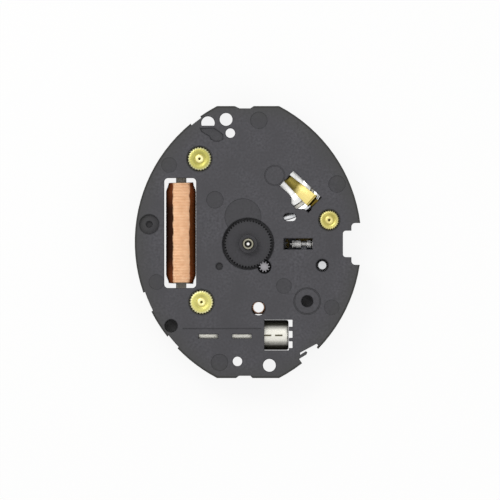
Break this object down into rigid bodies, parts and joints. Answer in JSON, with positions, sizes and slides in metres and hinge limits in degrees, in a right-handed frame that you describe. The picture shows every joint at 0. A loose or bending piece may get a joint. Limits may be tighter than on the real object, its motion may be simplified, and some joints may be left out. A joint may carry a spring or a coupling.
{
  "type": "quartz watch movement",
  "caption": "Analogue quartz watch movement with black oval plate, copper coil, brass posts, crystal can, gear train, setting stem and centre posts for hour, minute and seconds hands.",
  "frame": {"origin": "on the hands' axis at the dial seat, the flat dial side of the main plate", "axes": "+X towards the winding stem (three o'clock), +Y towards twelve o'clock, +Z out of the dial side along the hands' axis"},
  "size_m": [0.0149, 0.0179, 0.0044],
  "materials": {
    "black_resin": "fine moulded texture",
    "post_brass": "turned and knurled",
    "wheel_brass": "stamped and gilt",
    "bridge_brass": "fine ground",
    "contact_brass": "gilt spring strip",
    "pinion_steel": "turned",
    "lever_steel": "stamped, tumbled",
    "stem_steel": "turned",
    "screw_steel": "polished head",
    "core_iron": "annealed nickel iron",
    "magnet": "sintered magnet",
    "copper_wire": "enamelled copper wire",
    "board": "laminate with copper tracks",
    "chip_resin": "potting resin",
    "can_nickel": "nickel plated can",
    "lead_tin": "tinned wire",
    "cell_steel": "nickel plated steel",
    "gasket_nylon": "moulded seal",
    "sheet_film": "insulating film",
    "back_steel": "stamped stainless sheet"
  },
  "bodies": {
    "plate": {"main_plate": "black_resin", "post_upper": "post_brass", "post_lower": "post_brass", "post_side": "post_brass", "coil_core": "core_iron", "coil_winding": "copper_wire", "coil_leads": "copper_wire", "stator": "core_iron", "setting_jumper": "lever_steel", "centre_bridge": "lever_steel", "train_bridge": "bridge_brass", "bridge_screws": "screw_steel", "circuit_board": "board", "ic_chip": "chip_resin", "crystal_can": "can_nickel", "crystal_leads": "lead_tin", "negative_contact": "contact_brass", "battery_can": "cell_steel", "battery_gasket": "gasket_nylon", "battery_cap": "cell_steel", "insulator": "sheet_film", "back_plate": "back_steel"},
    "rotor": {"rotor_magnet": "magnet", "rotor_pinion": "chip_resin"},
    "fifth": {"fifth_wheel": "wheel_brass", "fifth_pinion": "pinion_steel"},
    "seconds": {"seconds_wheel": "wheel_brass", "seconds_arbor": "pinion_steel"},
    "third": {"third_wheel": "wheel_brass", "third_pinion": "pinion_steel"},
    "centre": {"centre_wheel": "wheel_brass", "cannon_pinion": "wheel_brass"},
    "minute": {"minute_wheel": "black_resin", "minute_pinion": "pinion_steel"},
    "hour": {"hour_wheel": "black_resin"},
    "setting_gear": {"setting_wheel": "black_resin"},
    "stem": {"winding_stem": "stem_steel"},
    "clutch": {"clutch_wheel": "stem_steel"},
    "detent": {"setting_lever": "lever_steel"},
    "yoke_arm": {"yoke": "lever_steel"},
    "stop": {"reset_lever": "lever_steel"}
  },
  "joints": [
    {"name": "rotor_spin", "type": "hinge", "parent": "plate", "child": "rotor", "pos_m": [-0.0019, -0.00147, 0], "axis": [0, 0, 1], "continuous": true},
    {"name": "fifth_spin", "type": "hinge", "parent": "plate", "child": "fifth", "pos_m": [-0.00024, -0.00186, 0], "axis": [0, 0, 1], "continuous": true},
    {"name": "seconds_spin", "type": "hinge", "parent": "plate", "child": "seconds", "pos_m": [0, 0, 0], "axis": [0, 0, 1], "continuous": true},
    {"name": "third_spin", "type": "hinge", "parent": "plate", "child": "third", "pos_m": [-0.00147, 0.00085, 0], "axis": [0, 0, 1], "continuous": true},
    {"name": "centre_spin", "type": "hinge", "parent": "plate", "child": "centre", "pos_m": [0, 0, 0], "axis": [0, 0, 1], "continuous": true},
    {"name": "minute_spin", "type": "hinge", "parent": "plate", "child": "minute", "pos_m": [0.00107, -0.0015, 0], "axis": [0, 0, 1], "continuous": true},
    {"name": "hour_spin", "type": "hinge", "parent": "plate", "child": "hour", "pos_m": [0, 0, 0], "axis": [0, 0, 1], "continuous": true},
    {"name": "setting_gear_spin", "type": "hinge", "parent": "plate", "child": "setting_gear", "pos_m": [0.00206, 0, 0], "axis": [0, 0, 1], "continuous": true},
    {"name": "stem_pull", "type": "slide", "parent": "plate", "child": "stem", "axis": [1, 0, 0], "range_m": [0, 0.0007]},
    {"name": "clutch_slide", "type": "slide", "parent": "plate", "child": "clutch", "axis": [1, 0, 0], "range_m": [-0.00026, 0]},
    {"name": "detent_turn", "type": "hinge", "parent": "plate", "child": "detent", "pos_m": [0.00488, -0.00141, 0], "axis": [0, 0, 1], "range_deg": [-27.9, 0]},
    {"name": "yoke_turn", "type": "hinge", "parent": "plate", "child": "yoke_arm", "pos_m": [0.00353, -0.0021, 0], "axis": [0, 0, 1], "range_deg": [0, 7.08]},
    {"name": "stop_turn", "type": "hinge", "parent": "plate", "child": "stop", "pos_m": [0.0029, -0.0029, 0], "axis": [0, 0, 1], "range_deg": [0, 3.1]}
  ],
  "couplings": [
    {"joint": "fifth_spin", "follows": "rotor_spin", "ratio": -0.13333},
    {"joint": "seconds_spin", "follows": "rotor_spin", "ratio": 0.033333},
    {"joint": "third_spin", "follows": "rotor_spin", "ratio": -0.0044444},
    {"joint": "centre_spin", "follows": "rotor_spin", "ratio": 0.00055556},
    {"joint": "minute_spin", "follows": "rotor_spin", "ratio": -0.00022222},
    {"joint": "hour_spin", "follows": "rotor_spin", "ratio": 0.000046296},
    {"joint": "setting_gear_spin", "follows": "rotor_spin", "ratio": 0.00060606},
    {"joint": "clutch_slide", "follows": "stem_pull", "ratio": -0.37143},
    {"joint": "detent_turn", "follows": "stem_pull", "rad_per_m": -695},
    {"joint": "yoke_turn", "follows": "stem_pull", "rad_per_m": 176.5},
    {"joint": "stop_turn", "follows": "stem_pull", "rad_per_m": 77.3}
  ]
}
